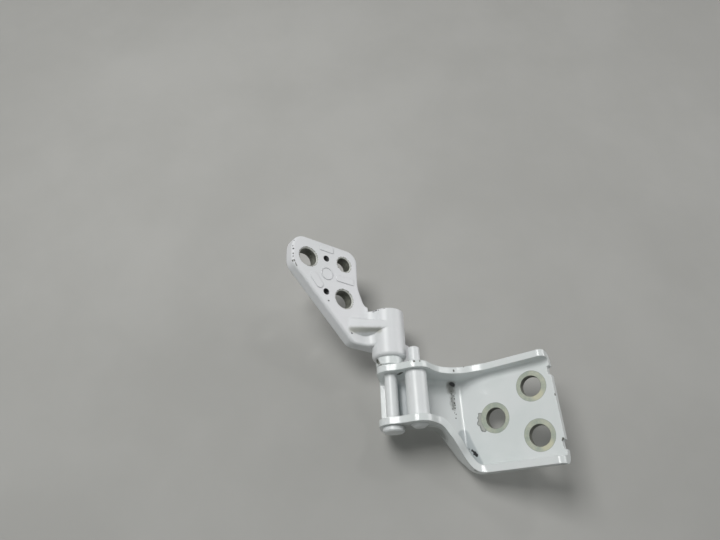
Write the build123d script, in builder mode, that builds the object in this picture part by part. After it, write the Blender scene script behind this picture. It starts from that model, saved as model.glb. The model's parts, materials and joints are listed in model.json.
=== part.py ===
"""Car door hinge: a pressed pillar bracket and a forged door leaf on one riveted pin.

Millimetres. The origin is the centre of the bracket's bolt circle, on its mounting face.
+X runs along the base plate away from the hinge axis, +Y goes into the pillar and
+Z runs up the hinge axis, from the bracket's ears towards the leaf.
"""
import os
from math import cos, radians, sin, sqrt

from build123d import *

# Hinge axis, seen from the bolt circle
axis_reach = 67.0
axis_standoff = 52.0

# Pressed bracket: sheet, bolts and the tray round the bolt holes
sheet = 4.5
bend_radius = 3.0
bolt_circle = 36.0
bolt_count = 3
bolt_hole = 13.5
tray_width = 61.5
tray_end = 23.5
notch_gap = 40.0
notch_width = 6.0
notch_depth = 1.8
notch_round = 1.5
rim_height = 8.2
rim_corner = 4.0

# Goose-neck between the tray and the ears; distances are from the hinge axis
web_gap = 11.0
web_angle = 20.0
neck_foot = 24.8
neck_angle = 59.0
neck_radius_ears = 16.0
neck_radius_tray = 3.2
waist_near = 24.0
shoulder_near = 44.0
shoulder_radius_near = 30.0
wall_lean = 40.0
waist_far = 17.0
shoulder_far = 3.8
waist_radius_far = 12.0
shoulder_radius_far = 8.0
flange_draw = 1.4

# Ears
ear_gap = 30.0
ear_centre = 13.7
ear_radius_hinge = 9.2
ear_radius_stop = 10.4
ear_dip_radius = 30.0
ear_end_angle = 117.0
heel_radius = 27.3
climb_start = 11.0
climb_end = 34.0
climb_reach = 24.0
climb_radius_ears = 10.0
climb_radius_wall = 15.0
climb_radius_tray = 8.0

# Hinge pin
pin_diameter = 8.4
pin_head_diameter = 14.0
pin_head_height = 3.5
pin_head_chamfer = 0.8
pin_rivet_diameter = 11.0
pin_rivet_top = 6.4
pin_rivet_height = 2.1

# Stop pin, placed from the hinge axis
stop_along = 16.0
stop_out = 5.8
stop_diameter = 14.2
stop_tenon = 10.0
stop_rivet_diameter = 11.4
stop_rivet_top = 7.0
stop_rivet_height = 1.8
stop_collar_diameter = 11.5
stop_collar_height = 3.0
stub_diameter = 7.8
stub_length = 12.6
stub_chamfer = 0.8

# Forged leaf: heights are above the upper ear, reaches are from the hinge axis
leaf_angle = -106.25
leaf_thickness = 8.2
leaf_setback = 4.6
leaf_bottom = 14.5
leaf_top = 86.0
leaf_tip = 75.0
leaf_inner_edge = 21.0
leaf_slope_drop = 11.8
leaf_heel_radius = 8.0
leaf_tip_radius = 10.0
leaf_head_radius = 9.0
leaf_waist_height = 58.0
leaf_waist_radius = 25.0
leaf_face_round = 1.8
neck_reach = 15.0
neck_height = 43.3
neck_radius = 6.0
neck_blend = 8.0
neck_back_reach = 8.0
neck_back_angle = -95.0

# Barrel, bushes and end washer
barrel_radius = 11.6
barrel_length = 34.0
barrel_round = 2.5
barrel_recess = 2.6
recess_clearance = 0.45
spot_face_radius = 14.7
bush_diameter = 11.0
bush_length = 14.0
bush_collar_diameter = 18.5
bush_collar_height = 5.7
bush_flange_height = 1.4
bush_round = 0.6
washer_inset = 0.25
washer_height = 1.9
washer_chamfer = 0.4
running_clearance = 0.05
thrust_clearance = 0.3

# Gusset rib and stop lug of the leaf
rib_height = 28.0
rib_tip = 30.5
rib_root = 5.0
rib_rise = 15.0
rib_foot_width = 16.0
rib_crest_width = 5.5
rib_sink = 2.4
rib_round = 1.6
lug_angle = 88.0
lug_radius = 20.0
lug_width = 8.0
lug_start = 7.0
lug_length = 13.5
lug_round = 2.0

# Leaf holes as (reach from the axis, height above the upper ear)
leaf_bolt_places = [(33.1, 45.7), (62.3, 70.4)]
fitting_place = (33.0, 73.1)
dowel_places = [(47.9, 73.3), (47.9, 47.3)]
leaf_bolt_hole = 13.0
leaf_bolt_chamfer = 1.1
fitting_hole = 10.5
fitting_chamfer = 0.75
dowel_hole = 4.5

# Plain raised pads and a ring on the leaf's face, placed like its holes
pad_rise = 0.35
wide_pad_place = (32.1, 60.6)
wide_pad_size = (14.6, 5.2)
narrow_pad_place = (47.8, 81.1)
narrow_pad_size = (11.6, 4.4)
pad_corner = 0.8
ring_place = (47.4, 61.6)
ring_diameter = 9.7
ring_width = 0.8
slot_pad_place = (55.6, 54.3)
slot_pad_size = (12.5, 6.0)
slot_pad_angle = 50.0

# Cutting tools run past the solids by this much
overrun = 15.0

# Heights along the hinge axis
ear_low_inside = ear_centre - ear_gap / 2
ear_low = ear_low_inside - sheet
ear_high_inside = ear_centre + ear_gap / 2
ear_high = ear_high_inside + sheet
collar_low = ear_high + thrust_clearance
barrel_low = collar_low + bush_collar_height
barrel_high = barrel_low + barrel_length
recess_floor = barrel_high - barrel_recess
flange_high = recess_floor + bush_flange_height
washer_low = flange_high + thrust_clearance
washer_high = washer_low + washer_height

# Widths at the barrel's upper end
recess_diameter = bush_collar_diameter + 2 * recess_clearance
washer_diameter = bush_collar_diameter - 2 * washer_inset

# Places across the hinge axis
axis_place = (-axis_reach, -axis_standoff)
stop_place = (stop_along - axis_reach, stop_out - axis_standoff)
plate_inside = axis_standoff - sheet
half_tray = tray_width / 2
half_height = half_tray + sheet + overrun
channel_mouth = -axis_standoff - ear_radius_hinge - overrun
past_channel = -axis_reach - 3 * (ear_radius_hinge + overrun)


def from_axis(along, out):
    """A point of the side view, measured from the hinge axis."""
    return (along - axis_reach, out - axis_standoff)


def polar(radius, angle):
    """A point at a radius and an angle in degrees."""
    return (radius * cos(radians(angle)), radius * sin(radians(angle)))


def meet(start_a, angle_a, start_b, angle_b):
    """Where two lines cross, each given by a point and a direction in degrees."""
    ax, ay = polar(1, angle_a)
    bx, by = polar(1, angle_b)
    dx, dy = start_b[0] - start_a[0], start_b[1] - start_a[1]
    run = (dx * by - dy * bx) / (ax * by - ay * bx)
    return (start_a[0] + run * ax, start_a[1] + run * ay)


def floor_line():
    """Inner face of the channel floor in the side view, from the ears to the tray's end."""
    web_start = from_axis(*polar(web_gap, web_angle + 90))
    foot = from_axis(neck_foot, plate_inside)
    past_ears = polar(-2 * (ear_radius_hinge + overrun), web_angle)
    return [
        (web_start[0] + past_ears[0], web_start[1] + past_ears[1]),
        meet(web_start, web_angle, foot, neck_angle),
        foot,
        (tray_end + overrun, -sheet),
    ]


def near_side_line():
    """Inner face of the upper flange in plan, from the ears to the tray's end."""
    return [
        (past_channel, ear_high_inside),
        (waist_near - axis_reach, ear_high_inside),
        (shoulder_near - axis_reach, half_tray),
        (tray_end + overrun, half_tray),
    ]


def far_side_line():
    """Inner face of the lower flange seen along its lean, from the tray's end back to the ears, from the neck's foot."""
    return [
        (tray_end + axis_reach - neck_foot, -half_tray),
        (shoulder_far, flange_draw - half_tray),
        (-waist_far, ear_low_inside),
        (-2 * axis_reach, ear_low_inside),
    ]


# The plane that the lower flange stands square to: its wall leans over with the neck
lean_plane = Plane(
    (*from_axis(neck_foot, plate_inside), 0),
    x_dir=(*polar(1, wall_lean), 0),
    z_dir=(*polar(1, wall_lean - 90), 0),
)


# Everything inside the channel: its side view carried across, cut to its plan, with rounded bends
with BuildPart() as channel:
    with BuildSketch(Plane.XY.offset(-half_height)):
        with BuildLine():
            floor = FilletPolyline(*floor_line(), radius=(neck_radius_ears, neck_radius_tray))
            start, end = floor @ 0, floor @ 1
            Polyline(end, (end.X, channel_mouth), (start.X, channel_mouth), start)
        make_face()
    extrude(amount=2 * half_height)
    with BuildSketch(Plane.XZ.offset(-overrun)):
        with BuildLine():
            near = FilletPolyline(*near_side_line(), radius=shoulder_radius_near)
            start, end = near @ 0, near @ 1
            Polyline(end, (end.X, -half_height), (start.X, -half_height), start)
        make_face()
    extrude(amount=overrun - channel_mouth, mode=Mode.INTERSECT)
    with BuildSketch(lean_plane.offset(-2 * axis_reach)):
        with BuildLine():
            far = FilletPolyline(*far_side_line(), radius=(shoulder_radius_far, waist_radius_far))
            start, end = far @ 0, far @ 1
            Polyline(end, (end.X, half_height), (start.X, half_height), start)
        make_face()
    extrude(amount=4 * axis_reach, mode=Mode.INTERSECT)
    corners = channel.edges().filter_by(Axis.Z, reverse=True).filter_by(Axis.Y, reverse=True)
    corners = corners.filter_by(Axis((0, 0, 0), lean_plane.z_dir), reverse=True)
    fillet(corners.filter_by_position(Axis.Y, channel_mouth + bend_radius, overrun), bend_radius)


def side_view(rim):
    """Side view of the bracket: two ear bumps over the neck, and the tray behind its rim line."""
    ear_end = polar(ear_radius_hinge, ear_end_angle + 90)
    end_run = polar(axis_standoff, ear_end_angle)
    with BuildSketch() as view:
        with Locations(axis_place):
            Circle(ear_radius_hinge)
        with Locations(stop_place):
            Circle(ear_radius_stop)
        fillet(view.vertices().sort_by(Axis.Y)[0], ear_dip_radius)
        with BuildLine():
            add(rim)
            Polyline(
                rim @ 1,
                from_axis(ear_end[0] + end_run[0], axis_standoff + overrun),
                from_axis(ear_end[0] + end_run[0], ear_end[1] + end_run[1]),
                from_axis(*ear_end),
                axis_place,
                stop_place,
                rim @ 0,
            )
        make_face()
    return view.sketch


heel = stop_along + ear_radius_stop
rim_out = plate_inside - rim_height
near_rim = FilletPolyline(
    from_axis(heel, stop_out),
    from_axis(heel, rim_out),
    (tray_end, rim_out - axis_standoff),
    (tray_end, overrun),
    radius=(heel_radius, rim_corner),
)
far_rim = FilletPolyline(
    from_axis(heel, stop_out),
    from_axis(heel, climb_start),
    from_axis(climb_end, climb_reach),
    from_axis(climb_end, rim_out),
    (tray_end, rim_out - axis_standoff),
    (tray_end, overrun),
    radius=(climb_radius_ears, climb_radius_wall, climb_radius_tray, rim_corner),
)

# The two flanges have rims of their own, so each half of the bracket has its own side view
with BuildPart() as rims:
    with BuildSketch(Plane.XY.offset(ear_centre)):
        add(side_view(near_rim))
    extrude(amount=half_height)
    with BuildSketch(Plane.XY.offset(ear_centre)):
        add(side_view(far_rim))
    extrude(amount=-half_height - ear_centre)

# Inner skin of the sheet: the channel without its ends and its mouth, cut to the rims
channel_ends = channel.faces().filter_by(Axis.X)
channel_top = channel.faces().filter_by(Axis.Y).sort_by(Axis.Y)[:1]
skin = Shell(Shell(channel.faces() - channel_ends - channel_top).intersect(rims.part))

with BuildPart() as pillar_bracket:
    add(Solid.thicken(skin, sheet))
    with BuildSketch(Plane.XZ.offset(-overrun)):
        with Locations((tray_end, 0)):
            with GridLocations(0, notch_gap + notch_width, 1, 2):
                RectangleRounded(2 * notch_depth, notch_width, notch_round)
    extrude(amount=2 * overrun, mode=Mode.SUBTRACT)
    with BuildSketch(Plane.XZ.offset(-overrun)):
        with PolarLocations(bolt_circle / 2, bolt_count, start_angle=180):
            Circle(bolt_hole / 2)
    extrude(amount=2 * overrun, mode=Mode.SUBTRACT)
    with BuildSketch(Plane.XY.offset(ear_low)):
        with Locations(axis_place):
            Circle(pin_diameter / 2)
        with Locations(stop_place):
            Circle(stop_tenon / 2)
    extrude(amount=ear_high - ear_low, mode=Mode.SUBTRACT)


def through(place):
    """The plane of a line parallel to the hinge axis, for (radius, height) outlines."""
    return Plane((*place, 0), x_dir=(1, 0, 0), z_dir=(0, -1, 0))


hinge_axis = Axis((*axis_place, 0), (0, 0, 1))
stop_axis = Axis((*stop_place, 0), (0, 0, 1))

with BuildPart() as hinge_pin:
    with BuildSketch(through(axis_place)):
        with BuildLine():
            Polyline(
                (0, ear_low - pin_head_height),
                (pin_head_diameter / 2 - pin_head_chamfer, ear_low - pin_head_height),
                (pin_head_diameter / 2, ear_low - pin_head_height + pin_head_chamfer),
                (pin_head_diameter / 2, ear_low),
                (pin_diameter / 2, ear_low),
                (pin_diameter / 2, washer_high),
                (pin_rivet_diameter / 2, washer_high),
                (pin_rivet_top / 2, washer_high + pin_rivet_height),
                (0, washer_high + pin_rivet_height),
                close=True,
            )
        make_face()
    revolve(axis=hinge_axis)

with BuildPart() as stop_pin:
    with BuildSketch(through(stop_place)):
        with BuildLine():
            Polyline(
                (stop_rivet_top / 2, ear_low - stop_rivet_height),
                (stop_rivet_diameter / 2, ear_low),
                (stop_tenon / 2, ear_low),
                (stop_tenon / 2, ear_low_inside),
                (stop_diameter / 2, ear_low_inside),
                (stop_diameter / 2, ear_high_inside),
                (stop_tenon / 2, ear_high_inside),
                (stop_tenon / 2, ear_high),
                (stop_collar_diameter / 2, ear_high),
                (stub_diameter / 2, ear_high + stop_collar_height),
                (stub_diameter / 2, ear_high + stub_length - stub_chamfer),
                (stub_diameter / 2 - stub_chamfer, ear_high + stub_length),
                (0, ear_high + stub_length),
                (0, ear_low - stop_rivet_height),
                close=True,
            )
        make_face()
    revolve(axis=stop_axis)

# Leaf directions: along the leaf from the hinge axis, and out of its mounting face
leaf_along = Vector(*polar(1, leaf_angle))
leaf_out = Vector(*polar(1, leaf_angle - 90))
leaf_foot = Vector(*axis_place, ear_high)
leaf_back = leaf_setback + leaf_thickness
leaf_section = Plane(leaf_foot, x_dir=leaf_along, z_dir=(0, 0, 1))
leaf_front = Plane(leaf_foot + leaf_out * leaf_setback, x_dir=leaf_along, z_dir=leaf_out)
leaf_depth = Axis(leaf_foot, leaf_out)
leaf_run = Axis(leaf_foot, leaf_along)

# Plate and neck: one section carried up the axis and cut to the outline
with BuildPart() as leaf_plate:
    with BuildSketch(leaf_section):
        with BuildLine():
            blend_rise = neck_blend - leaf_setback
            blend_reach = sqrt((barrel_radius + neck_blend) ** 2 - blend_rise**2)
            shrink = barrel_radius / (barrel_radius + neck_blend)
            root = (blend_reach * shrink, blend_rise * shrink)
            TangentArc((blend_reach, -leaf_setback), root, tangent=(-1, 0))
            Polyline(
                root,
                (0, 0),
                polar(barrel_radius, neck_back_angle),
                (neck_back_reach, -leaf_back),
                (leaf_tip + overrun, -leaf_back),
                (leaf_tip + overrun, -leaf_setback),
                (blend_reach, -leaf_setback),
            )
        make_face()
    extrude(amount=leaf_top)
    with BuildSketch(leaf_front.offset(-overrun - leaf_back)):
        with BuildLine():
            FilletPolyline(
                (-barrel_radius, leaf_bottom),
                (leaf_bottom + leaf_slope_drop, leaf_bottom),
                (leaf_tip, leaf_tip - leaf_slope_drop),
                (leaf_tip, leaf_top),
                (leaf_inner_edge, leaf_top),
                (leaf_inner_edge, leaf_waist_height),
                (neck_reach, neck_height),
                (-barrel_radius, neck_height),
                radius=(
                    0,
                    leaf_heel_radius,
                    leaf_tip_radius,
                    leaf_tip_radius,
                    leaf_head_radius,
                    leaf_waist_radius,
                    neck_radius,
                    0,
                ),
                close=True,
            )
        make_face()
    extrude(amount=2 * (overrun + leaf_back), mode=Mode.INTERSECT)
    faces = leaf_plate.faces().filter_by(leaf_front).sort_by(leaf_depth)
    fillet(faces[0].edges().sort_by(leaf_run)[1:], leaf_face_round)

# Gusset rib between the plate and the barrel
with BuildPart() as leaf_rib:
    slope = rib_rise / (rib_tip - rib_root)
    foot = leaf_setback + rib_sink
    for reach in (rib_root, rib_tip + rib_sink / 2):
        crest = leaf_setback - slope * (rib_tip - reach)
        place = leaf_foot + leaf_along * reach + Vector(0, 0, rib_height)
        with BuildSketch(Plane(place, x_dir=(0, 0, 1), z_dir=leaf_along)):
            with BuildLine():
                Polyline(
                    (-rib_foot_width / 2, foot),
                    (rib_foot_width / 2, foot),
                    (rib_crest_width / 2, crest),
                    (-rib_crest_width / 2, crest),
                    close=True,
                )
            make_face()
    loft(ruled=True)
    fillet(leaf_rib.edges().sort_by(SortBy.LENGTH)[-2:], rib_round)

with BuildPart() as door_leaf:
    with BuildSketch(Plane.XY.offset(barrel_low)):
        with Locations(axis_place):
            Circle(barrel_radius)
    extrude(amount=barrel_length)
    fillet(door_leaf.edges().sort_by(Axis.Z)[0], barrel_round)
    add(leaf_plate.part)
    add(leaf_rib.part)
    lug_place = leaf_foot + Vector(0, 0, lug_start)
    with BuildSketch(Plane(lug_place, x_dir=Vector(*polar(1, lug_angle)), z_dir=(0, 0, 1))) as lug:
        Rectangle(lug_radius, lug_width, align=(Align.MIN, Align.CENTER))
        fillet(lug.vertices().sort_by(Axis.X)[-2:], lug_round)
    extrude(amount=lug_length)
    with BuildSketch(Plane.XY.offset(barrel_low)):
        with Locations(axis_place):
            Circle(bush_diameter / 2)
    extrude(amount=barrel_length, mode=Mode.SUBTRACT)
    with BuildSketch(Plane.XY.offset(barrel_high)):
        with Locations(axis_place):
            Circle(spot_face_radius)
    extrude(amount=overrun, mode=Mode.SUBTRACT)
    with BuildSketch(Plane.XY.offset(recess_floor)):
        with Locations(axis_place):
            Circle(recess_diameter / 2)
    extrude(amount=barrel_recess, mode=Mode.SUBTRACT)
    with BuildSketch(leaf_front):
        with Locations(wide_pad_place):
            RectangleRounded(*wide_pad_size, pad_corner)
        with Locations(narrow_pad_place):
            RectangleRounded(*narrow_pad_size, pad_corner)
        with Locations(slot_pad_place):
            SlotOverall(*slot_pad_size, rotation=slot_pad_angle)
        with Locations(ring_place):
            Circle(ring_diameter / 2)
            Circle(ring_diameter / 2 - ring_width, mode=Mode.SUBTRACT)
    extrude(amount=-pad_rise)
    with BuildSketch(leaf_front):
        with Locations(leaf_bolt_places):
            Circle(leaf_bolt_hole / 2)
        with Locations(fitting_place):
            Circle(fitting_hole / 2)
        with Locations(dowel_places):
            Circle(dowel_hole / 2)
    extrude(amount=leaf_thickness, mode=Mode.SUBTRACT)
    with BuildSketch(leaf_front):
        with Locations(leaf_bolt_places):
            Circle(leaf_bolt_hole / 2 + leaf_bolt_chamfer)
    extrude(amount=leaf_bolt_chamfer, taper=45, mode=Mode.SUBTRACT)
    with BuildSketch(leaf_front):
        with Locations(fitting_place):
            Circle(fitting_hole / 2 + fitting_chamfer)
    extrude(amount=fitting_chamfer, taper=45, mode=Mode.SUBTRACT)

bush_bore = pin_diameter / 2 + running_clearance

with BuildPart() as lower_bush:
    with BuildSketch(through(axis_place)):
        with BuildLine():
            Polyline(
                (bush_bore, collar_low),
                (bush_collar_diameter / 2 - bush_round, collar_low),
                (bush_collar_diameter / 2, collar_low + bush_round),
                (bush_collar_diameter / 2, barrel_low),
                (bush_diameter / 2, barrel_low),
                (bush_diameter / 2, barrel_low + bush_length),
                (bush_bore, barrel_low + bush_length),
                close=True,
            )
        make_face()
    revolve(axis=hinge_axis)

with BuildPart() as upper_bush:
    with BuildSketch(through(axis_place)):
        with BuildLine():
            Polyline(
                (bush_bore, recess_floor - bush_length),
                (bush_diameter / 2, recess_floor - bush_length),
                (bush_diameter / 2, recess_floor),
                (bush_collar_diameter / 2, recess_floor),
                (bush_collar_diameter / 2, flange_high),
                (bush_bore, flange_high),
                close=True,
            )
        make_face()
    revolve(axis=hinge_axis)

with BuildPart() as end_washer:
    with BuildSketch(through(axis_place)):
        with BuildLine():
            Polyline(
                (pin_diameter / 2, washer_low),
                (washer_diameter / 2 - washer_chamfer, washer_low),
                (washer_diameter / 2, washer_low + washer_chamfer),
                (washer_diameter / 2, washer_high - washer_chamfer),
                (washer_diameter / 2 - washer_chamfer, washer_high),
                (pin_diameter / 2, washer_high),
                close=True,
            )
        make_face()
    revolve(axis=hinge_axis)

pillar_bracket.part.label = "pillar_bracket"
hinge_pin.part.label = "hinge_pin"
stop_pin.part.label = "stop_pin"
door_leaf.part.label = "door_leaf"
lower_bush.part.label = "lower_bush"
upper_bush.part.label = "upper_bush"
end_washer.part.label = "end_washer"

os.makedirs("parts", exist_ok=True)
export_step(pillar_bracket.part, "parts/pillar_bracket.step")
export_step(hinge_pin.part, "parts/hinge_pin.step")
export_step(stop_pin.part, "parts/stop_pin.step")
export_step(door_leaf.part, "parts/door_leaf.step")
export_step(lower_bush.part, "parts/lower_bush.step")
export_step(upper_bush.part, "parts/upper_bush.step")
export_step(end_washer.part, "parts/end_washer.step")
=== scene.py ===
"""Car door hinge: sprayed white enamel over olive primer, with its wear and some painted shade, on a pale floor.

Metres, in the part's frame. Marks of wear and of painted shade are written down in millimetres.
"""

import json
from math import cos, radians, sin

import bpy
import numpy as np
from mathutils import Matrix, Vector


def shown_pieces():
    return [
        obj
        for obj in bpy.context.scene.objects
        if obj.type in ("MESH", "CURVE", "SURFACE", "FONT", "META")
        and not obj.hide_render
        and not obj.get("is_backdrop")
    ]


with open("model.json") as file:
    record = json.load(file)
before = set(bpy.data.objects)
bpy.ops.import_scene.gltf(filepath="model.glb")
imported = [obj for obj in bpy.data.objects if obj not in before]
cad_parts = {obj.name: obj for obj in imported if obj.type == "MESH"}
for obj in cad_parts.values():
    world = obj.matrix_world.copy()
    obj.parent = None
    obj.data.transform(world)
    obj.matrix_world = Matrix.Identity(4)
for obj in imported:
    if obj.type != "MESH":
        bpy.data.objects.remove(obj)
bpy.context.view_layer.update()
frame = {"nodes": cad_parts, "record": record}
MM = 0.001


# Places on the hinge, from the record, in metres

record = frame["record"]
mounts = {mount["name"]: mount for mount in record["mounts"]}
up = np.array([0.0, 0.0, 1.0])
hinge_axis = np.array(record["behaviour"]["joints"][0]["pos_m"])
ear_top = 33.2 * MM
plate_face = -4.5 * MM
plate_back = 0.0
leaf_out = np.array(mounts["leaf_face"]["axis"])
leaf_along = np.cross(up, leaf_out)
leaf_back = (np.array(mounts["leaf_face"]["pos_m"]) - hinge_axis) @ leaf_out
leaf_thickness = 8.2 * MM
leaf_front = leaf_back - leaf_thickness
leaf_bolts = ["leaf_bolt_inner", "leaf_bolt_outer", "leaf_bolt_upper"]
leaf_dowels = ["leaf_dowel_upper", "leaf_dowel_lower"]

# The bolt seats in the tray, in millimetres and degrees: each bare ring sits a little off its hole, to the right and up

seat_circle = mounts["pillar_bolts"]["dims"]["pcd_mm"] / 2
seat_hole = mounts["pillar_bolts"]["dims"]["hole_r_mm"]
seat_angles = [60.0, 180.0, 300.0]
seat_shifts = [(0.3, 0.0), (-0.5, 0.3), (-0.1, 0.2)]
seat_radius = 10.0
seat_border = 0.15
hole_margin = 0.15
yellow_angles = [60.0, 300.0]
yellow_shift = (3.5, -6.5)
yellow_radius = 6.0


def on_leaf(along, height):
    """A point of the leaf's face, in metres: so many mm along the plate from the hinge axis, and up from the ear."""
    return tuple(hinge_axis + up * (ear_top + height * MM) + leaf_along * along * MM + leaf_out * leaf_front)


def on_seat(angle, right=0.0, above=0.0, depth=plate_face):
    """A point at a bolt hole of the tray, in metres: moved so many mm to the right and up, at a depth in metres."""
    x = seat_circle * cos(radians(angle)) + right
    z = seat_circle * sin(radians(angle)) + above
    return (x * MM, depth, z * MM)


def streak(start, end, radius):
    """A mark about the line between two points, given in mm: (start, end, radius) in metres."""
    return (tuple(value * MM for value in start), tuple(value * MM for value in end), radius * MM)


def spot(place, radius):
    """A round mark about a point, given in mm: (start, end, radius) in metres."""
    return streak(place, place, radius)


# Small helpers for shader nodes

def fill(tree, socket, value):
    """Links a socket to another node's output, or sets it to a plain value."""
    if isinstance(value, bpy.types.NodeSocket):
        tree.links.new(value, socket)
    else:
        socket.default_value = value


def put(tree, kind, inputs=None, **settings):
    """Adds a shader node, with its settings, and fills its inputs with values or with other nodes' outputs."""
    made = tree.nodes.new(kind)
    for name, value in settings.items():
        setattr(made, name, value)
    for name, value in (inputs or {}).items():
        fill(tree, made.inputs[name], value)
    return made


def maths_of(tree, kind, *values):
    """The output of a Math node of that kind."""
    return put(tree, "ShaderNodeMath", dict(enumerate(values)), operation=kind).outputs[0]


def vector_of(tree, kind, *values):
    """The vector that a Vector Math node of that kind gives."""
    return put(tree, "ShaderNodeVectorMath", dict(enumerate(values)), operation=kind).outputs["Vector"]


def size_of(tree, kind, *values):
    """The number that a Vector Math node of that kind gives."""
    return put(tree, "ShaderNodeVectorMath", dict(enumerate(values)), operation=kind).outputs["Value"]


def ramp_of(tree, value, low, high):
    """A smooth rise from 0 to 1 while the value goes from low to high."""
    made = put(tree, "ShaderNodeMapRange",
               {"Value": value, "From Min": low, "From Max": high, "To Min": 0.0, "To Max": 1.0},
               interpolation_type="SMOOTHSTEP")
    return made.outputs["Result"]


def mix_of(tree, kind, share, first, second):
    """The first value where the share is 0 and the second where it is 1; the kind is RGBA or FLOAT."""
    made = put(tree, "ShaderNodeMix", {"Factor": share}, data_type=kind)
    ins = [socket for socket in made.inputs if socket.enabled and socket.name in ("A", "B")]
    for socket, value in zip(ins, (first, second)):
        fill(tree, socket, value)
    return next(socket for socket in made.outputs if socket.enabled)


def object_place(tree):
    """The place on the piece, in metres."""
    return put(tree, "ShaderNodeTexCoord").outputs["Object"]


def noise_of(tree, place, scale, detail=3.0, roughness=0.55):
    """Fractal noise from 0 to 1 at a place, with so many waves to a metre."""
    made = put(tree, "ShaderNodeTexNoise",
               {"Vector": place, "Scale": scale, "Detail": detail, "Roughness": roughness})
    return made.outputs["Fac"]


def about_zero(tree, noise):
    """Noise from 0 to 1, moved down so that it lies about 0."""
    return maths_of(tree, "SUBTRACT", noise, 0.5)


NUMBER, COLOUR, ARROW = "NodeSocketFloat", "NodeSocketColor", "NodeSocketVector"


def new_effect(name, takes, gives):
    """A shader node group with named inputs and outputs, each with its kind of socket."""
    tree = bpy.data.node_groups.new(name, "ShaderNodeTree")
    for way, sockets in (("INPUT", takes), ("OUTPUT", gives)):
        for label, kind in sockets.items():
            tree.interface.new_socket(label, in_out=way, socket_type=kind)
    taken = tree.nodes.new("NodeGroupInput").outputs
    given = tree.nodes.new("NodeGroupOutput").inputs
    return tree, taken, given


# Effects that several finishes share

def enamel_effect():
    """Sprayed enamel: two tones drift over about 36 mm, the orange peel is about 1.6 mm wide, and the gloss wanders."""
    drift_share, film_share, film_gloss = 0.75, 0.25, 0.14
    tree, taken, given = new_effect(
        "sprayed enamel",
        {"Tone": COLOUR, "Shade": COLOUR, "Gloss": NUMBER},
        {"Colour": COLOUR, "Roughness": NUMBER, "Height": NUMBER})
    place = object_place(tree)
    drift = ramp_of(tree, noise_of(tree, place, scale=28.0), low=0.35, high=0.70)
    film = noise_of(tree, place, scale=170.0, detail=4.0)
    peel = noise_of(tree, place, scale=620.0, detail=1.5)
    mottle = maths_of(tree, "MULTIPLY_ADD", film, film_share, maths_of(tree, "MULTIPLY", drift, drift_share))
    tree.links.new(mix_of(tree, "RGBA", mottle, taken["Tone"], taken["Shade"]), given["Colour"])
    tree.links.new(maths_of(tree, "MULTIPLY_ADD", film, film_gloss, taken["Gloss"]), given["Roughness"])
    tree.links.new(peel, given["Height"])
    return tree


def mottled_effect():
    """Bare primer, metal or zinc: a light and a dark tone in cloudy patches of about 8 mm, with a fine grain."""
    grain_share, cloud_gloss, least_gloss = 0.4, 0.25, 0.34
    tree, taken, given = new_effect(
        "mottled metal",
        {"Light": COLOUR, "Dark": COLOUR, "Share": NUMBER},
        {"Colour": COLOUR, "Roughness": NUMBER, "Height": NUMBER})
    place = object_place(tree)
    cloud = noise_of(tree, place, scale=130.0, detail=4.0, roughness=0.6)
    grain = noise_of(tree, place, scale=1900.0, detail=2.0)
    patch = maths_of(tree, "ADD", about_zero(tree, cloud), taken["Share"])
    patch = maths_of(tree, "MULTIPLY_ADD", about_zero(tree, grain), grain_share, patch)
    share = ramp_of(tree, patch, low=0.25, high=0.75)
    tree.links.new(mix_of(tree, "RGBA", share, taken["Light"], taken["Dark"]), given["Colour"])
    tree.links.new(maths_of(tree, "MULTIPLY_ADD", cloud, cloud_gloss, least_gloss), given["Roughness"])
    tree.links.new(grain, given["Height"])
    return tree


def chipped_edge_effect():
    """Chips on edges: where the rounded normal leaves the face's own normal, and the grain of the chips is high."""
    fine_share, broad_share = 0.6, 0.4
    tree, taken, given = new_effect(
        "chipped edge",
        {"Rounded": ARROW, "Share": NUMBER, "Grain": NUMBER},
        {"Mask": NUMBER})
    place = object_place(tree)
    face = put(tree, "ShaderNodeNewGeometry").outputs["True Normal"]
    turn = maths_of(tree, "SUBTRACT", 1.0, size_of(tree, "DOT_PRODUCT", taken["Rounded"], face))
    edge = ramp_of(tree, turn, low=0.03, high=0.16)
    broad = noise_of(tree, place, scale=42.0, detail=2.0)
    fine = noise_of(tree, place, scale=taken["Grain"])
    level = maths_of(tree, "MULTIPLY_ADD", fine, fine_share, maths_of(tree, "MULTIPLY", broad, broad_share))
    bar = maths_of(tree, "SUBTRACT", 1.0, taken["Share"])
    chips = ramp_of(tree, maths_of(tree, "SUBTRACT", level, bar), low=0.0, high=0.03)
    tree.links.new(maths_of(tree, "MULTIPLY", edge, chips), given["Mask"])
    return tree


def worn_patch_effect():
    """A worn patch: inside a radius about the line from start to end, with a soft border that noise moves."""
    tree, taken, given = new_effect(
        "worn patch",
        {"Start": ARROW, "End": ARROW, "Radius": NUMBER, "Ragged": NUMBER, "Grain": NUMBER, "Soft": NUMBER},
        {"Mask": NUMBER})
    place = object_place(tree)
    run = vector_of(tree, "SUBTRACT", taken["End"], taken["Start"])
    offset = vector_of(tree, "SUBTRACT", place, taken["Start"])
    covered = size_of(tree, "DOT_PRODUCT", offset, run)
    share = maths_of(tree, "DIVIDE", covered, size_of(tree, "DOT_PRODUCT", run, run))
    share = put(tree, "ShaderNodeClamp", {"Value": share}).outputs[0]
    nearest = put(tree, "ShaderNodeVectorMath", {0: run, "Scale": share}, operation="SCALE").outputs["Vector"]
    away = size_of(tree, "LENGTH", vector_of(tree, "SUBTRACT", offset, nearest))
    grain = noise_of(tree, place, scale=taken["Grain"])
    border = maths_of(tree, "MULTIPLY_ADD", about_zero(tree, grain), taken["Ragged"], taken["Radius"])
    inside = maths_of(tree, "SUBTRACT", border, away)
    tree.links.new(ramp_of(tree, inside, low=0.0, high=taken["Soft"]), given["Mask"])
    return tree


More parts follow.
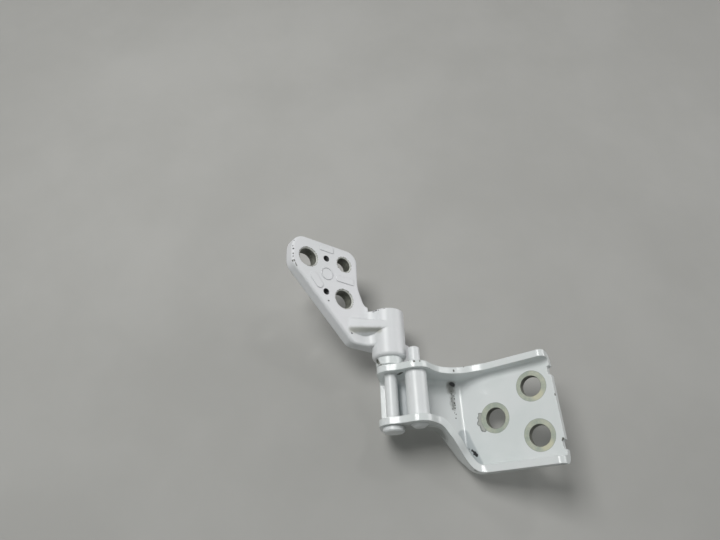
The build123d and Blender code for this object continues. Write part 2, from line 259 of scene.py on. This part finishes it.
def dust_effect():
    """Dust nibs: a few small dots, one in a random few of the cells of a grid of scattered points."""
    tree, taken, given = new_effect(
        "dust nibs",
        {"Cells": NUMBER, "Dot": NUMBER, "Share": NUMBER},
        {"Mask": NUMBER})
    place = object_place(tree)
    cells = put(tree, "ShaderNodeTexVoronoi", {"Vector": place, "Scale": taken["Cells"]})
    chance = put(tree, "ShaderNodeSeparateColor", {"Color": cells.outputs["Color"]}).outputs["Red"]
    picked = maths_of(tree, "LESS_THAN", chance, taken["Share"])
    near = maths_of(tree, "LESS_THAN", cells.outputs["Distance"], taken["Dot"])
    tree.links.new(maths_of(tree, "MULTIPLY", picked, near), given["Mask"])
    return tree


enamel = enamel_effect()
mottled = mottled_effect()
chipped_edge = chipped_edge_effect()
worn_patch = worn_patch_effect()
dust = dust_effect()


# Colours

white = (0.74, 0.76, 0.765, 1)
white_shade = (0.67, 0.71, 0.705, 1)
leaf_white = (0.74, 0.74, 0.765, 1)
leaf_shade = (0.69, 0.705, 0.715, 1)
# painted shade: a grey-blue tone laid where shade falls, in the tray's corner and behind the pins
painted_shade_grey = (0.33, 0.37, 0.39, 1)
# near-black for soot marks, and as painted shade on the walls of the leaf's dowel bores
soot_and_painted_shade = (0.014, 0.015, 0.017, 1)
grime = (0.10, 0.10, 0.085, 1)
# painted shade with some road dirt: a dark grey for the underside of the lower ear
road_dirt_and_shade = (0.25, 0.26, 0.245, 1)
# painted shade with grime: an olive-grey for the pocket under the leaf's rib, where the rib's shadow falls
pocket_shade_and_grime = (0.33, 0.33, 0.28, 1)
smudge = (0.20, 0.205, 0.19, 1)
primer_cream = (0.50, 0.51, 0.41, 1)
primer_green = (0.31, 0.36, 0.31, 1)
primer_yellow = (0.60, 0.58, 0.42, 1)
primer_edge = (0.22, 0.25, 0.22, 1)
flake_grey = (0.38, 0.385, 0.36, 1)
flake_edge = (0.15, 0.16, 0.155, 1)
bore_grey = (0.20, 0.205, 0.17, 1)
bore_dark = (0.045, 0.047, 0.036, 1)
ring_light = (0.62, 0.63, 0.60, 1)
ring_dark = (0.22, 0.225, 0.20, 1)
zinc_cream = (0.60, 0.59, 0.48, 1)
zinc_olive = (0.31, 0.32, 0.22, 1)
floor_dark = (0.405, 0.40, 0.385, 1)
floor_light = (0.44, 0.435, 0.42, 1)
world_light = (0.94, 1.0, 0.98, 1)
world_seen = (0.80, 0.80, 0.79, 1)


# Building a finish from layers

class Finish:
    """A material made of layers: each one lies over the last where its mask says, with its own colour and gloss.

    Lengths are given in millimetres, and a gloss is a roughness.
    """

    def __init__(self, name, edge_round):
        self.material = bpy.data.materials.new(name)
        self.material.use_nodes = True
        self.tree = self.material.node_tree
        self.tree.nodes.clear()
        self.colour = None
        self.gloss = None
        self.height = None
        self.height_depth = None
        self.rounded = put(self.tree, "ShaderNodeBevel", {"Radius": edge_round * MM}, samples=6).outputs["Normal"]

    def effect(self, group, **values):
        """Places a shared effect in this finish with its own values."""
        made = put(self.tree, "ShaderNodeGroup", node_tree=group)
        for label, value in values.items():
            fill(self.tree, made.inputs[label], value)
        return made.outputs

    def start(self, layer, depth):
        """The first layer, from an effect with a colour, a roughness and a height, which is so deep."""
        self.colour, self.gloss = layer["Colour"], layer["Roughness"]
        self.height, self.height_depth = layer["Height"], depth

    def lay(self, mask, colour, gloss, strength=1.0):
        """Lays a colour and a gloss over what is there, where the mask is 1, at a strength."""
        share = mask if strength == 1.0 else maths_of(self.tree, "MULTIPLY", mask, strength)
        self.colour = mix_of(self.tree, "RGBA", share, self.colour, colour)
        self.gloss = mix_of(self.tree, "FLOAT", share, self.gloss, gloss)

    def either(self, masks):
        """The strongest of several masks."""
        strongest = masks[0]
        for mask in masks[1:]:
            strongest = maths_of(self.tree, "MAXIMUM", strongest, mask)
        return strongest

    def only(self, mask, other):
        """A mask kept only where another one is 1."""
        return maths_of(self.tree, "MULTIPLY", mask, other)

    def patches(self, marks, ragged, grain, soft=0.25):
        """One mask for several marks: noise with so many grains to a metre makes the border ragged, and it is soft."""
        border = {"Ragged": ragged * MM, "Grain": grain, "Soft": soft * MM}
        return self.either([self.effect(worn_patch, Start=start, End=end, Radius=radius, **border)["Mask"]
                            for start, end, radius in marks])

    def wear(self, marks, colour, gloss, strength=1.0, **border):
        """Lays a colour and a gloss over several marks, and gives their mask."""
        mask = self.patches(marks, **border)
        self.lay(mask, colour, gloss, strength)
        return mask

    def nibs(self, **values):
        """Lays scattered nibs of grime."""
        self.lay(self.effect(dust, **values)["Mask"], grime, gloss=0.5)

    def chips(self, share, grain):
        """Knocks the enamel off the edges, down to dark grime, and gives their mask."""
        mask = self.effect(chipped_edge, Rounded=self.rounded, Share=share, Grain=grain)["Mask"]
        self.lay(mask, grime, gloss=0.55)
        return mask

    def close(self, pits, pit_depth):
        """Ends the finish in one shader: the first layer's height over the rounded edges, less the pits."""
        film = {"Height": self.height, "Distance": self.height_depth * MM, "Normal": self.rounded}
        normal = put(self.tree, "ShaderNodeBump", film).outputs["Normal"]
        pitted = {"Height": pits, "Distance": pit_depth * MM, "Normal": normal}
        normal = put(self.tree, "ShaderNodeBump", pitted, invert=True).outputs["Normal"]
        shader = put(self.tree, "ShaderNodeBsdfPrincipled",
                     {"Base Color": self.colour, "Roughness": self.gloss, "Normal": normal})
        put(self.tree, "ShaderNodeOutputMaterial", {"Surface": shader.outputs["BSDF"]})
        return self.material


# Wear on the bracket, and painted shade in its corner, behind the pins and under the lower ear

bend_smudges = [
    streak((-45.4, -10.2, 28.0), (-45.2, -9.8, 23.0), 4.6),
    streak((-45.1, -9.6, 23.0), (-45.2, -9.6, 11.0), 3.0),
]
# painted shade in the tray's lower-left corner, under the leaning wall
corner_painted_shade = [streak((-43.0, -4.5, -8.0), (-36.0, -4.5, -27.0), 5.4)]
# painted shade on the web, in the slot behind the pins
slot_painted_shade = [streak((-66.5, -40.0, 22.0), (-66.8, -40.0, 2.0), 6.0)]
# painted shade with some road dirt, on the underside of the lower ear
under_ear_shade_and_dirt = [streak((-64.0, -50.0, -5.8), (-50.0, -25.0, -5.8), 10.0)]
bend_dots = [
    streak((-44.6, -9.2, 25.0), (-45.0, -9.2, 9.0), 1.5),
    streak((-45.0, -9.2, 9.0), (-44.5, -8.2, 3.0), 0.9),
]
# a black spot in the inner corner where the flange meets the web at the bend
corner_black_spot = [streak((-44.6, -10.3, 27.9), (-44.0, -8.4, 27.2), 2.0)]
corner_comma = [
    streak((-38.0, -4.5, -17.7), (-37.0, -4.5, -18.8), 0.8),
    streak((-36.4, -4.5, -19.6), (-35.3, -4.5, -21.0), 1.2),
]
rim_chips = [
    streak((-34.9, -23.0, 31.4), (-34.9, -23.0, 31.9), 0.7),
    spot((-29.8, -17.9, 34.4), 0.7),
    spot((-45.9, -55.2, 32.4), 0.8),
    spot((-43.1, -52.7, 32.4), 0.7),
    streak((-33.0, -13.7, -31.8), (-32.3, -13.5, -32.3), 0.9),
    streak((23.5, -4.4, 7.2), (23.5, -4.4, 6.8), 0.7),
    streak((22.6, -4.5, -19.6), (22.2, -4.5, -20.6), 0.9),
    streak((22.4, -12.6, -31.0), (22.8, -12.6, -31.8), 0.7),
    streak((-61.6, -49.9, 28.7), (-58.8, -51.2, 28.7), 1.3),
]
flake_marks = [
    streak((-28.7, -4.5, 3.9), (-29.4, -4.5, 2.2), 1.7),
    streak((-29.3, -4.5, 0.8), (-29.8, -4.5, -1.6), 1.9),
    streak((-28.6, -4.5, -3.2), (-27.4, -4.5, -5.8), 1.8),
]
flake_border = 0.6

# Wear on the leaf and the lower bush, and painted shade with grime in the rib's pocket

# painted shade with grime in the pocket under the rib
rib_pocket_shade_and_grime = [streak((-79.0, -77.5, 57.0), (-66.0, -64.0, 57.5), 3.4)]
tip_dashes = [(on_leaf(74.2, 79.5), on_leaf(75.0, 63.8), 1.0 * MM)]
tip_chips = [
    streak((-93.1, -121.6, 97.2), (-93.1, -121.6, 96.2), 0.55),
    streak((-92.0, -121.1, 97.4), (-91.9, -120.7, 96.6), 0.5),
    streak((-91.8, -120.2, 95.6), (-91.6, -119.1, 93.8), 0.4),
]
dot_places = [(46.1, 41.0, 0.7), (45.3, 33.6, 0.5), (36.4, 24.0, 0.8), (27.6, 21.4, 0.7)]
leaf_dots = [(on_leaf(along, height), on_leaf(along, height), radius * MM) for along, height, radius in dot_places]
barrel_chips = [
    streak((-71.5, -63.4, 72.6), (-67.5, -63.4, 72.6), 0.4),
    streak((-66.3, -63.6, 72.4), (-61.3, -62.1, 72.8), 0.3),
]
bush_tears = [
    streak((-72.0, -59.8, 38.2), (-69.6, -60.9, 35.4), 1.2),
    streak((-70.5, -60.6, 33.9), (-66.2, -61.2, 33.9), 0.6),
    streak((-60.0, -46.0, 36.5), (-62.0, -44.5, 37.5), 1.8),
]


# Wear about the holes, as (start, end, radius) in metres

def narrower(marks, by):
    """The same marks, each narrower by so many mm."""
    return [(start, end, radius - by * MM) for start, end, radius in marks]


def seat_marks(radius):
    """Round marks about the tray's bolt holes, on its inner face, with a radius in mm."""
    places = [on_seat(angle, right, above) for angle, (right, above) in zip(seat_angles, seat_shifts)]
    return [(place, place, radius * MM) for place in places]


def yellow_marks():
    """Round marks at the lower right of the tray's two right-hand bolt holes, where the primer is yellower."""
    places = [on_seat(angle, *yellow_shift) for angle in yellow_angles]
    return [(place, place, yellow_radius * MM) for place in places]


def hole_marks():
    """Marks about the walls of the tray's bolt holes, as deep as the sheet."""
    return [(on_seat(angle), on_seat(angle, depth=plate_back), (seat_hole + hole_margin) * MM)
            for angle in seat_angles]


def bore_marks(names, margin):
    """Marks about the leaf's bores, as deep as the leaf, each wider than its bore by a margin in mm."""
    marks = []
    for name in names:
        axis = np.array(mounts[name]["axis"])
        back = np.array(mounts[name]["pos_m"])
        radius = (mounts[name]["dims"]["r_mm"] + margin) * MM
        marks.append((tuple(back - axis * leaf_thickness), tuple(back), radius))
    return marks


# The finishes

def bracket_finish():
    """White enamel on the pressed bracket, primer where bolt washers sat, grime in the bend, chips on the rims, and
    painted shade in the tray's corner, behind the pins and under the lower ear.
    """
    finish = Finish("bracket enamel", edge_round=0.7)
    finish.start(finish.effect(enamel, Tone=white, Shade=white_shade, Gloss=0.07), depth=0.007)
    # painted shade in the tray's corner and behind the pins, and painted shade with some road dirt under the lower ear
    finish.wear(corner_painted_shade, painted_shade_grey, gloss=0.3, strength=0.6, ragged=1.2, grain=120.0, soft=1.8)
    finish.wear(slot_painted_shade, painted_shade_grey, gloss=0.4, strength=0.75, ragged=3.0, grain=120.0, soft=4.0)
    finish.wear(under_ear_shade_and_dirt, road_dirt_and_shade, gloss=0.6, strength=0.75, ragged=5.0, grain=160.0, soft=5.0)
    finish.wear(bend_smudges, smudge, gloss=0.5, strength=0.9, ragged=3.0, grain=420.0, soft=3.4)
    finish.wear(flake_marks, flake_edge, gloss=0.55, strength=0.9, ragged=2.4, grain=520.0)
    finish.wear(narrower(flake_marks, flake_border), flake_grey, gloss=0.5, ragged=2.4, grain=520.0)
    primer = finish.effect(mottled, Light=primer_cream, Dark=primer_green, Share=0.52)
    finish.wear(seat_marks(seat_radius + seat_border), primer_edge, gloss=0.5, ragged=0.5, grain=300.0, soft=0.3)
    seats = finish.wear(seat_marks(seat_radius), primer["Colour"], primer["Roughness"],
                        ragged=0.7, grain=300.0, soft=0.4)
    yellow = finish.patches(yellow_marks(), ragged=3.0, grain=260.0, soft=4.0)
    finish.lay(finish.only(yellow, seats), primer_yellow, gloss=0.45, strength=0.8)
    bare = finish.effect(mottled, Light=bore_grey, Dark=bore_dark, Share=0.6)
    finish.wear(hole_marks(), bare["Colour"], bare["Roughness"], ragged=0.2, grain=400.0, soft=0.1)
    specks = finish.effect(dust, Cells=850.0, Dot=0.42, Share=0.45)["Mask"]
    dots = finish.only(finish.patches(bend_dots, ragged=1.5, grain=500.0), specks)
    black = finish.patches(corner_comma, ragged=1.6, grain=650.0)
    finish.wear(corner_black_spot, soot_and_painted_shade, gloss=0.5, ragged=1.6, grain=650.0, soft=1.1)
    finish.lay(finish.either([dots, black]), soot_and_painted_shade, gloss=0.5)
    knocks = finish.wear(rim_chips, grime, gloss=0.5, ragged=1.6, grain=800.0)
    finish.nibs(Cells=150.0, Dot=0.05, Share=0.06)
    chips = finish.chips(share=0.39, grain=330.0)
    return finish.close(finish.either([chips, knocks, black]), pit_depth=0.12)


def leaf_finish():
    """White enamel on the forged leaf, chipped at the tip and barrel, worn to dark metal in the bolt holes, with
    painted shade in the dowel holes and painted shade with grime in the rib's pocket.
    """
    finish = Finish("leaf enamel", edge_round=0.9)
    finish.start(finish.effect(enamel, Tone=leaf_white, Shade=leaf_shade, Gloss=0.30), depth=0.014)
    ring = finish.effect(mottled, Light=ring_light, Dark=ring_dark, Share=0.42)
    bare = finish.effect(mottled, Light=bore_grey, Dark=bore_dark, Share=0.62)
    finish.wear(bore_marks(leaf_bolts, margin=1.15), bore_grey, gloss=0.6, ragged=2.0, grain=1000.0, soft=0.15)
    finish.wear(bore_marks(leaf_bolts, margin=0.95), ring["Colour"], ring["Roughness"], ragged=0.8, grain=800.0)
    finish.wear(bore_marks(leaf_bolts, margin=0.25), bare["Colour"], bare["Roughness"], ragged=0.3, grain=500.0)
    # painted shade: the dowel bores' walls are laid near-black so that the holes look dark and deep
    finish.wear(bore_marks(leaf_dowels, margin=0.2), soot_and_painted_shade, gloss=0.6, ragged=0.3, grain=500.0)
    # painted shade with grime in the pocket under the rib
    finish.wear(rib_pocket_shade_and_grime, pocket_shade_and_grime, gloss=0.55, strength=0.7, ragged=2.0, grain=200.0, soft=2.6)
    flecks = finish.effect(dust, Cells=700.0, Dot=0.45, Share=0.5)["Mask"]
    dashes = finish.only(finish.patches(tip_dashes, ragged=0.8, grain=800.0), flecks)
    specks = finish.patches(leaf_dots + barrel_chips, ragged=1.6, grain=900.0)
    tip = finish.wear(tip_chips, grime, gloss=0.6, ragged=1.4, grain=900.0)
    finish.lay(finish.either([dashes, specks]), soot_and_painted_shade, gloss=0.6)
    finish.nibs(Cells=170.0, Dot=0.05, Share=0.05)
    chips = finish.chips(share=0.36, grain=330.0)
    return finish.close(finish.either([chips, specks, tip]), pit_depth=0.12)


def pin_finish(name, chip_share):
    """White enamel on a turned pin, with the odd chip on its head."""
    finish = Finish(name, edge_round=0.6)
    finish.start(finish.effect(enamel, Tone=white, Shade=leaf_shade, Gloss=0.26), depth=0.008)
    finish.nibs(Cells=220.0, Dot=0.06, Share=0.04)
    return finish.close(finish.chips(chip_share, grain=420.0), pit_depth=0.10)


def lower_bush_finish():
    """The lower bush: enamel that tore when the leaf swung, over dark bare metal."""
    finish = Finish("lower bush enamel", edge_round=0.4)
    finish.start(finish.effect(enamel, Tone=white, Shade=white_shade, Gloss=0.20), depth=0.012)
    metal = finish.effect(mottled, Light=ring_light, Dark=bore_dark, Share=0.55)
    torn = finish.wear(bush_tears, metal["Colour"], metal["Roughness"], ragged=3.2, grain=480.0)
    finish.chips(share=0.46, grain=420.0)
    return finish.close(torn, pit_depth=0.15)


def zinc_finish(name, olive_share):
    """Cream and olive passivated zinc on a bare turned piece."""
    finish = Finish(name, edge_round=0.3)
    finish.start(finish.effect(mottled, Light=zinc_cream, Dark=zinc_olive, Share=olive_share), depth=0.008)
    return finish.close(finish.chips(share=0.45, grain=420.0), pit_depth=0.06)


finishes = {
    "pillar_bracket": bracket_finish(),
    "door_leaf": leaf_finish(),
    "hinge_pin": pin_finish("hinge pin enamel", chip_share=0.38),
    "stop_pin": pin_finish("stop pin enamel", chip_share=0.40),
    "lower_bush": lower_bush_finish(),
    "upper_bush": zinc_finish("upper bush zinc", olive_share=0.45),
    "end_washer": zinc_finish("end washer zinc", olive_share=0.40),
}
for node_name, finish_material in finishes.items():
    node = frame["nodes"][node_name]
    if not node.material_slots:
        node.data.materials.append(finish_material)
    for slot in node.material_slots:
        slot.material = finish_material


# Floor, lamps, world and camera

floor_out = np.array([0.613, -0.790, 0.0])
floor_normal = floor_out / np.linalg.norm(floor_out)
floor_across = np.cross(up, floor_normal)
floor_half = 1.6
floor_gap = 0.2 * MM
light_target = Vector((-0.045, -0.060, 0.040))


def lowest_along(direction):
    """The least distance of any point of the hinge along a direction."""
    least = []
    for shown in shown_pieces():
        points = np.empty(len(shown.data.vertices) * 3)
        shown.data.vertices.foreach_get("co", points)
        least.append(float((points.reshape(-1, 3) @ direction).min()))
    return min(least)


def pale_floor():
    """A square sheet just clear of the hinge's lowest point, that is clear from behind.

    Its points are centre + across * s + up * t, with s and t within half a side.
    """
    centre = hinge_axis + floor_normal * (lowest_along(floor_normal) - floor_gap - hinge_axis @ floor_normal)
    s, t = np.meshgrid([-floor_half, floor_half], [-floor_half, floor_half], indexing="ij")
    points = centre + s.reshape(-1, 1) * floor_across + t.reshape(-1, 1) * up
    mesh = bpy.data.meshes.new("pale floor")
    mesh.from_pydata(points.tolist(), [], [(0, 2, 3, 1)])
    floor = bpy.data.objects.new("pale_floor", mesh)
    bpy.context.scene.collection.objects.link(floor)
    material = bpy.data.materials.new("pale floor")
    material.use_nodes = True
    tree = material.node_tree
    tree.nodes.clear()
    cloud = noise_of(tree, object_place(tree), scale=7.0, detail=5.0, roughness=0.6)
    tone = mix_of(tree, "RGBA", ramp_of(tree, cloud, low=0.3, high=0.7), floor_dark, floor_light)
    face = put(tree, "ShaderNodeBsdfPrincipled", {"Base Color": tone, "Roughness": 0.9, "Specular IOR Level": 0.1})
    clear = put(tree, "ShaderNodeBsdfTransparent")
    behind = put(tree, "ShaderNodeNewGeometry").outputs["Backfacing"]
    either = put(tree, "ShaderNodeMixShader", {0: behind, 1: face.outputs[0], 2: clear.outputs[0]})
    put(tree, "ShaderNodeOutputMaterial", {"Surface": either.outputs[0]})
    mesh.materials.append(material)
    floor.visible_shadow = False
    floor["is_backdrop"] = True


def from_floor(out, across, rise):
    """A direction by its shares: out of the floor, across it to the right, and up."""
    return floor_normal * out + floor_across * across + up * rise


def soft_lamp(name, direction, distance, side, power, colour):
    """A square soft lamp at a distance from the hinge, facing it."""
    data = bpy.data.lights.new(name, "AREA")
    data.shape = "SQUARE"
    data.size = side
    data.energy = power
    data.color = colour
    lamp = bpy.data.objects.new(name, data)
    bpy.context.scene.collection.objects.link(lamp)
    away = Vector(direction).normalized()
    lamp.matrix_world = (Matrix.Translation(light_target + away * distance)
                         @ away.to_track_quat("Z", "Y").to_matrix().to_4x4())


def studio_lamps():
    """A lamp above from the left, a wide low one and a small one from the right, and weak fills."""
    soft_lamp("upper lamp", from_floor(out=0.9, across=-0.35, rise=0.28),
              distance=1.0, side=0.44, power=6.7, colour=(1.0, 1.0, 0.99))
    soft_lamp("right lamp", from_floor(out=0.25, across=0.88, rise=0.25),
              distance=1.1, side=0.65, power=3.6, colour=(1.0, 0.99, 0.99))
    soft_lamp("ceiling lamp", from_floor(out=0.78, across=0.38, rise=0.5),
              distance=1.0, side=0.10, power=0.6, colour=(1.0, 1.0, 1.0))
    soft_lamp("near fill", from_floor(out=0.6, across=-0.4, rise=-0.55),
              distance=1.1, side=0.9, power=1.2, colour=(0.95, 1.0, 0.97))
    soft_lamp("back fill", from_floor(out=-1.0, across=0.0, rise=0.5),
              distance=1.2, side=0.9, power=4.0, colour=(1.0, 1.0, 1.0))


def pale_world():
    """An even world that lights the hinge weakly, and is pale where the camera or a mirrored ray meets it."""
    world = bpy.data.worlds.new("pale world")
    bpy.context.scene.world = world
    world.use_nodes = True
    tree = world.node_tree
    tree.nodes.clear()
    lit = put(tree, "ShaderNodeBackground", {"Color": world_light, "Strength": 0.13})
    seen = put(tree, "ShaderNodeBackground", {"Color": world_seen, "Strength": 1.0})
    path = put(tree, "ShaderNodeLightPath").outputs
    mirrored = maths_of(tree, "MAXIMUM", path["Is Glossy Ray"], path["Is Transmission Ray"])
    ray = maths_of(tree, "MAXIMUM", path["Is Camera Ray"], mirrored)
    either = put(tree, "ShaderNodeMixShader", {0: ray, 1: lit.outputs[0], 2: seen.outputs[0]})
    put(tree, "ShaderNodeOutputWorld", {"Surface": either.outputs[0]})


def photo_camera():
    """The camera of the photograph: its place and its right, up and back directions, 27 mm on a 36 mm sensor."""
    right = Vector((0.78938, 0.61309, -0.03156))
    top = Vector((0.32825, -0.37808, 0.86563))
    back = Vector((0.51878, -0.69367, -0.49969))
    place = Vector((0.127431, -0.341704, -0.090208))
    data = bpy.data.cameras.new("photo camera")
    data.lens = 27.0
    data.sensor_width = 36.0
    data.clip_start = 0.01
    data.clip_end = 20.0
    camera = bpy.data.objects.new("photo camera", data)
    bpy.context.scene.collection.objects.link(camera)
    camera.matrix_world = Matrix.Translation(place) @ Matrix((right, top, back)).transposed().to_4x4()
    bpy.context.scene.camera = camera


pale_floor()
studio_lamps()
pale_world()
photo_camera()
bpy.context.scene.view_settings.view_transform = "Standard"
